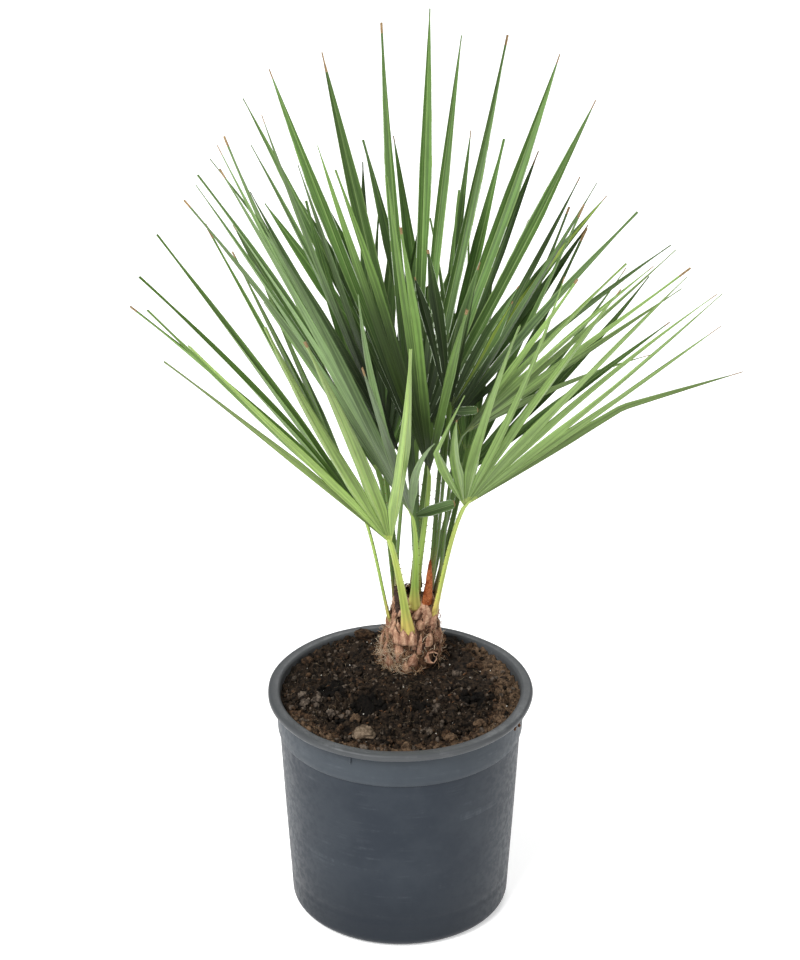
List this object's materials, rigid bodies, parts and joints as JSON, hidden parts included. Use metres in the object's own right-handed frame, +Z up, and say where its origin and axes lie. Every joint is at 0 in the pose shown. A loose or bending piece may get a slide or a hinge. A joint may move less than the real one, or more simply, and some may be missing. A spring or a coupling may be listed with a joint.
{
  "type": "potted european fan palm",
  "caption": "Young European fan palm in a round nursery pot: stiff fans of narrow pointed leaflets on slender stalks over a short fibrous trunk.",
  "frame": {"origin": "middle of the pot's flat underside, on the surface that the pot stands on", "axes": "+Z up, +X to the right and +Y away from the viewer in the picture's view"},
  "size_m": [0.5461, 0.6074, 0.7723],
  "materials": {
    "pot_plastic": "slate grey, scuffed, with a slightly lighter lip",
    "soil": "dark moist potting soil with clods",
    "trunk_fibre": "brown fibrous old leaf bases",
    "stalk_green": "smooth yellow-green",
    "leaf_green": "satin green with a bloom",
    "dry_sheath": "dry orange-brown"
  },
  "bodies": {
    "root": {"dead_stub": "dry_sheath", "dry_sheath": "dry_sheath", "frond_back_left": "leaf_green", "frond_back_right": "leaf_green", "frond_back_shaded": "leaf_green", "frond_back_tall": "leaf_green", "frond_front_low": "leaf_green", "frond_inner_left": "leaf_green", "frond_inner_right": "leaf_green", "frond_left_high": "leaf_green", "frond_left_long": "leaf_green", "frond_left_low": "leaf_green", "frond_right_high": "leaf_green", "frond_right_low": "leaf_green", "frond_right_old": "leaf_green", "frond_young_middle": "leaf_green", "frond_young_short": "leaf_green", "pot": "pot_plastic", "soil": "soil", "spear": "leaf_green", "stalk_back_left": "stalk_green", "stalk_back_right": "stalk_green", "stalk_back_shaded": "stalk_green", "stalk_back_tall": "stalk_green", "stalk_front_low": "stalk_green", "stalk_inner_left": "stalk_green", "stalk_inner_right": "stalk_green", "stalk_left_high": "stalk_green", "stalk_left_long": "stalk_green", "stalk_left_low": "stalk_green", "stalk_right_high": "stalk_green", "stalk_right_low": "stalk_green", "stalk_right_old": "stalk_green", "stalk_young_middle": "stalk_green", "stalk_young_short": "stalk_green", "trunk": "trunk_fibre"}
  },
  "joints": []
}
